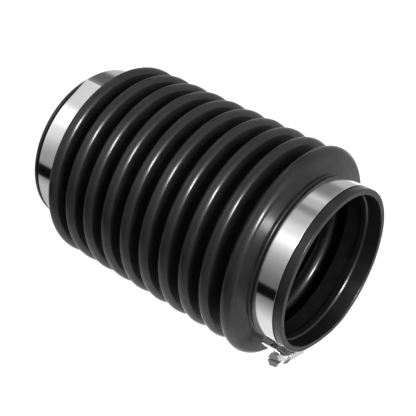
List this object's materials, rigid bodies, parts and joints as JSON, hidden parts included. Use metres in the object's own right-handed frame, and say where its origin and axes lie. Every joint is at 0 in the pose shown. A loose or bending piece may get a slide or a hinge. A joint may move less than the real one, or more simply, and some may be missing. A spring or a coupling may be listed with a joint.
{
  "type": "rubber bellows boot",
  "caption": "Moulded rubber bellows with a round cuff at each end, each cuff held by a steel band with a worm-drive screw, to seal and cover a moving joint or duct.",
  "frame": {"origin": "centre of the rear cuff's mouth, on the surface that the boot stands on", "axes": "+Z along the boot's axis from the rear mouth to the front mouth; the front clamp's screw housing lies 26 degrees from +X towards +Y"},
  "size_m": [0.1372, 0.1372, 0.2033],
  "materials": {
    "rubber": "moulded, semi-gloss",
    "band_steel": "brushed along the strip",
    "housing_steel": "pressed, satin",
    "screw_steel": "turned, plated"
  },
  "bodies": {
    "boot": {"bellows_boot": "rubber", "front_clamp_band": "band_steel", "front_clamp_housing": "housing_steel", "rear_clamp_band": "band_steel", "rear_clamp_housing": "housing_steel"},
    "front_screw": {"front_clamp_screw": "screw_steel"},
    "rear_screw": {"rear_clamp_screw": "screw_steel"}
  },
  "joints": [
    {"name": "front_screw_turn", "type": "hinge", "parent": "boot", "child": "front_screw", "pos_m": [0.05622, 0.02742, 0.19025], "axis": [0.4384, -0.8988, 0], "continuous": true},
    {"name": "rear_screw_turn", "type": "hinge", "parent": "boot", "child": "rear_screw", "pos_m": [-0.05949, 0.01933, 0.01145], "axis": [0.309, 0.9511, 0], "continuous": true}
  ]
}
